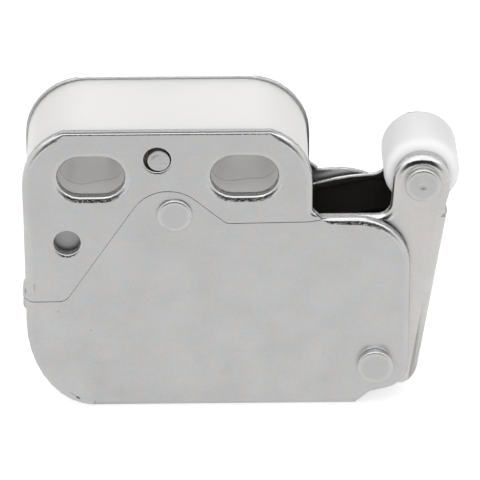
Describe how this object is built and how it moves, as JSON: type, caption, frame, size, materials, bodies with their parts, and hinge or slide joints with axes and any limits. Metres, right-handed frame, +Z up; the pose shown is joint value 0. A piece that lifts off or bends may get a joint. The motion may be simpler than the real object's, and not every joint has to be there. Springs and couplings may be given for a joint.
{
  "type": "touch latch",
  "caption": "Flat steel-cased push-to-open latch with a plastic housing, screw slots and a sprung lever that carries a white roller.",
  "frame": {"origin": "under the middle of the whole latch, at its underside", "axes": "+X from the case towards the roller, +Y through the case towards the flat mounting side, +Z up towards the screw slots"},
  "size_m": [0.0444, 0.014, 0.032],
  "materials": {
    "case_steel": "zinc plated, satin",
    "lever_steel": "zinc plated, satin, slightly warm",
    "rivet_steel": "zinc plated, smooth",
    "spring_steel": "drawn wire",
    "dark_steel": "bare, dull",
    "white_plastic": "moulded acetal, satin",
    "roller_plastic": "moulded acetal, satin",
    "black_plastic": "moulded, dull",
    "rubber": "plain"
  },
  "bodies": {
    "case": {"mounting_shell": "case_steel", "cover_shell": "case_steel", "housing": "white_plastic", "pivot_rivet": "rivet_steel", "pivot_sleeve": "rivet_steel", "body_rivet": "rivet_steel", "body_sleeve": "rivet_steel", "upper_pin": "rivet_steel", "lower_pin": "dark_steel", "leaf_spring": "spring_steel", "leaf_stake": "white_plastic", "lever_spring": "spring_steel", "bump_stop": "rubber"},
    "lever_arm": {"lever": "lever_steel", "cam_block": "black_plastic", "cam_pin": "rivet_steel", "roller_sleeve": "rivet_steel", "roller_pin": "rivet_steel"},
    "roller_wheel": {"roller": "roller_plastic"},
    "wire_follower": {"tracking_wire": "spring_steel"}
  },
  "joints": [
    {"name": "lever_swing", "type": "hinge", "parent": "case", "child": "lever_arm", "pos_m": [0.01379, 0.00047, 0.00512], "axis": [0, -1, 0], "range_deg": [0, 16], "stiffness_Nm_per_rad": 0.1, "springref_deg": -40.11, "deforming": ["lever_spring"]},
    {"name": "roller_spin", "type": "hinge", "parent": "lever_arm", "child": "roller_wheel", "pos_m": [0.01836, 0.00047, 0.02557], "axis": [0, -1, 0], "continuous": true},
    {"name": "wire_swing", "type": "hinge", "parent": "case", "child": "wire_follower", "pos_m": [-0.00473, 0.00047, 0.0174], "axis": [0, -1, 0], "range_deg": [0, 4.8]}
  ],
  "couplings": [
    {"joint": "wire_swing", "follows": "lever_swing", "ratio": 0.3}
  ]
}
